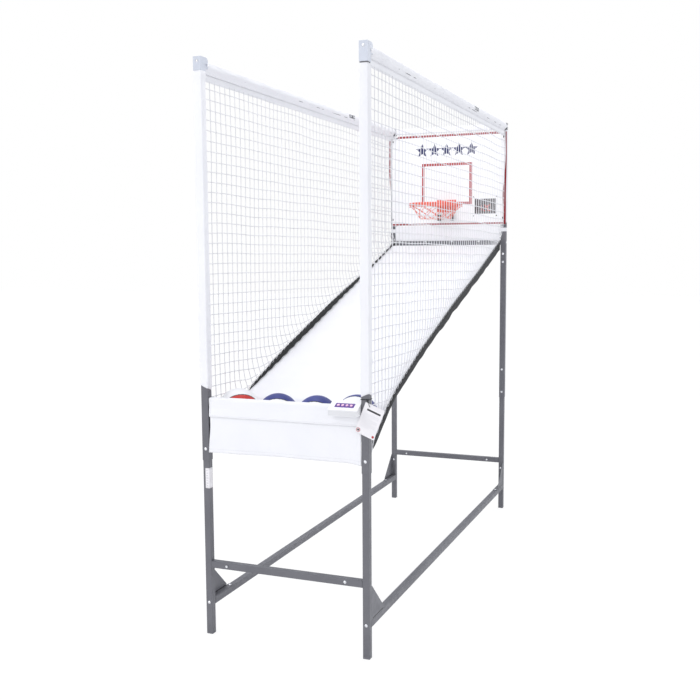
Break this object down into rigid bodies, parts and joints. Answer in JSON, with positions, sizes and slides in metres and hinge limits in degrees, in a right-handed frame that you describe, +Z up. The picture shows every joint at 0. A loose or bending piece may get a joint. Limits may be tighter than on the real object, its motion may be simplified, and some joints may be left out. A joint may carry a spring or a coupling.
{
  "type": "basketball hoop machine",
  "caption": "Free-standing basketball hoop machine: bolted tube frame, netted sides, sloping cloth ball return, backboard with hoop and display, ball trough, control box and loose balls.",
  "frame": {"origin": "centre of the four feet on the floor", "axes": "+X right as the player sees it, +Y from the player to the backboard, +Z up"},
  "size_m": [0.8116, 2.4519, 2.375],
  "materials": {
    "powder_coat": "semi-matt slate grey powder coat",
    "zinc": "bright zinc plate",
    "black_plastic": "moulded, light grain",
    "foot_plastic": "moulded, light grain",
    "bracket_silver": "light silver powder coat",
    "black_oxide": "black oxide on steel screws",
    "white_cloth": "plain woven polyester",
    "white_netting": "knotless polyester net",
    "black_webbing": "flat woven webbing",
    "board_white": "satin laminate with printed border",
    "rim_orange": "gloss orange-red enamel",
    "window_tint": "dark tinted, polished",
    "circuit_green": "solder mask",
    "white_plastic": "moulded, fine grain",
    "button_pink": "polished",
    "ball_red": "pebbled rubber, white panels",
    "ball_navy": "pebbled rubber, white panels",
    "card_white": "coated card",
    "cord_black": "braided cord"
  },
  "bodies": {
    "frame": {"front_leg_left": "powder_coat", "front_leg_right": "powder_coat", "rear_leg_left": "powder_coat", "rear_leg_right": "powder_coat", "front_post_left": "powder_coat", "front_post_right": "powder_coat", "rear_post_left": "powder_coat", "rear_post_right": "powder_coat", "rear_upright_left": "powder_coat", "rear_upright_right": "powder_coat", "front_crossbar": "powder_coat", "rear_crossbar": "powder_coat", "floor_rail_left": "powder_coat", "floor_rail_right": "powder_coat", "corner_gussets": "powder_coat", "top_rail_front_left": "powder_coat", "top_rail_front_right": "powder_coat", "top_rail_rear_left": "powder_coat", "top_rail_rear_right": "powder_coat", "rail_splices": "powder_coat", "top_bracket_left": "bracket_silver", "top_bracket_right": "bracket_silver", "rear_top_bar": "powder_coat", "ball_bar": "powder_coat", "ramp_top_bar": "powder_coat", "foot_caps": "foot_plastic", "frame_bolts": "zinc", "frame_nuts": "zinc", "board_knobs": "black_plastic", "ramp_sheet": "white_cloth", "ramp_band_left": "black_webbing", "ramp_band_right": "black_webbing", "front_apron": "white_cloth", "side_net_left": "white_netting", "side_net_right": "white_netting", "net_border_left": "white_cloth", "net_border_right": "white_cloth", "rear_panel": "white_cloth", "backboard": "board_white", "hoop_rim": "rim_orange", "hoop_net": "white_netting", "sensor_emitter": "black_plastic", "sensor_receiver": "black_plastic", "scoreboard_housing": "black_plastic", "scoreboard_window": "window_tint", "scoreboard_board": "circuit_green", "board_screws": "black_oxide", "control_base": "white_plastic", "control_cover": "white_plastic", "control_board": "circuit_green", "tag_cord": "cord_black"},
    "button_1": {"button_1": "button_pink"},
    "button_2": {"button_2": "button_pink"},
    "button_3": {"button_3": "button_pink"},
    "button_4": {"button_4": "button_pink"},
    "ball_1": {"ball_1": "ball_red"},
    "ball_2": {"ball_2": "ball_navy"},
    "ball_3": {"ball_3": "ball_navy"},
    "ball_4": {"ball_4": "ball_navy"},
    "tag": {"tag_card": "card_white"}
  },
  "joints": [
    {"name": "button_1_press", "type": "slide", "parent": "frame", "child": "button_1", "axis": [0, 0.4472, -0.8944], "range_m": [0, 0.002]},
    {"name": "button_2_press", "type": "slide", "parent": "frame", "child": "button_2", "axis": [0, 0.4472, -0.8944], "range_m": [0, 0.002]},
    {"name": "button_3_press", "type": "slide", "parent": "frame", "child": "button_3", "axis": [0, 0.4472, -0.8944], "range_m": [0, 0.002]},
    {"name": "button_4_press", "type": "slide", "parent": "frame", "child": "button_4", "axis": [0, 0.4472, -0.8944], "range_m": [0, 0.002]},
    {"name": "ball_1_lift", "type": "slide", "parent": "frame", "child": "ball_1", "axis": [0, 0, 1], "range_m": [0, 0.25]},
    {"name": "ball_2_lift", "type": "slide", "parent": "frame", "child": "ball_2", "axis": [0, 0, 1], "range_m": [0, 0.25]},
    {"name": "ball_3_lift", "type": "slide", "parent": "frame", "child": "ball_3", "axis": [0, 0, 1], "range_m": [0, 0.25]},
    {"name": "ball_4_lift", "type": "slide", "parent": "frame", "child": "ball_4", "axis": [0, 0, 1], "range_m": [0, 0.25]},
    {"name": "tag_swing", "type": "hinge", "parent": "frame", "child": "tag", "pos_m": [0.3765, -1.205, 1.011], "axis": [0, -1, 0], "range_deg": [0, 45]}
  ]
}
